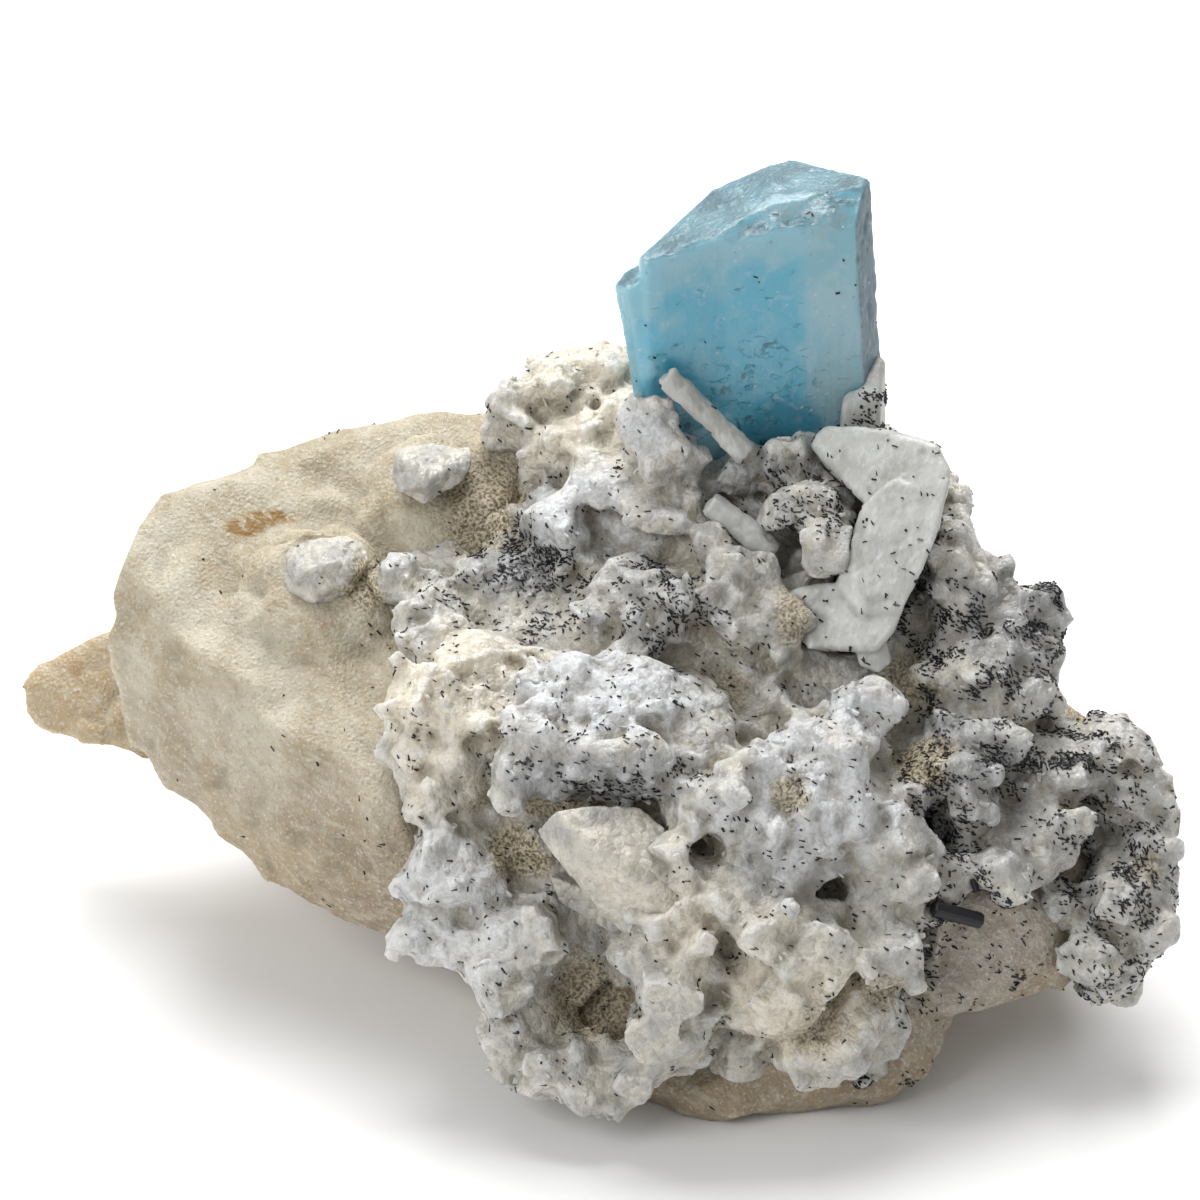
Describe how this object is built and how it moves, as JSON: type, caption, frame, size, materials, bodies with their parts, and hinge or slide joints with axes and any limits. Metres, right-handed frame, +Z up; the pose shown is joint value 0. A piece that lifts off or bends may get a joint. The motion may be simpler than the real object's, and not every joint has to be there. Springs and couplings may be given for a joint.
{
  "type": "aquamarine crystal on matrix",
  "caption": "Blue six-sided beryl prism standing on a lumpy albite crust over a broken quartz matrix, with white albite blades and black schorl needles.",
  "frame": {"origin": "on the flat patch that the specimen rests on, under the middle of the specimen", "axes": "+Z up, +X to the right along the specimen's length, +Y to the back, away from the crust's front"},
  "size_m": [0.1072, 0.0658, 0.0721],
  "materials": {
    "quartz_matrix": "grainy broken milky quartz, cream with tan underside",
    "albite_crust": "sugary white to grey crust with black specks",
    "aquamarine": "cloudy see-through blue beryl with etched faces",
    "albite": "smooth waxy white crystal faces",
    "schorl": "glossy black striated crystal"
  },
  "bodies": {
    "root": {"quartz_matrix": "quartz_matrix", "albite_crust": "albite_crust", "aquamarine_crystal": "aquamarine", "bent_albite_crystal": "albite", "leaning_albite_prism": "albite", "central_albite_prism": "albite", "albite_block": "albite", "albite_lump_left": "albite", "albite_lump_upper": "albite", "curved_albite_plate": "albite", "schorl_crystal_1": "schorl", "schorl_crystal_2": "schorl", "schorl_crystal_3": "schorl", "schorl_crystal_4": "schorl", "schorl_crystal_5": "schorl"}
  },
  "joints": []
}
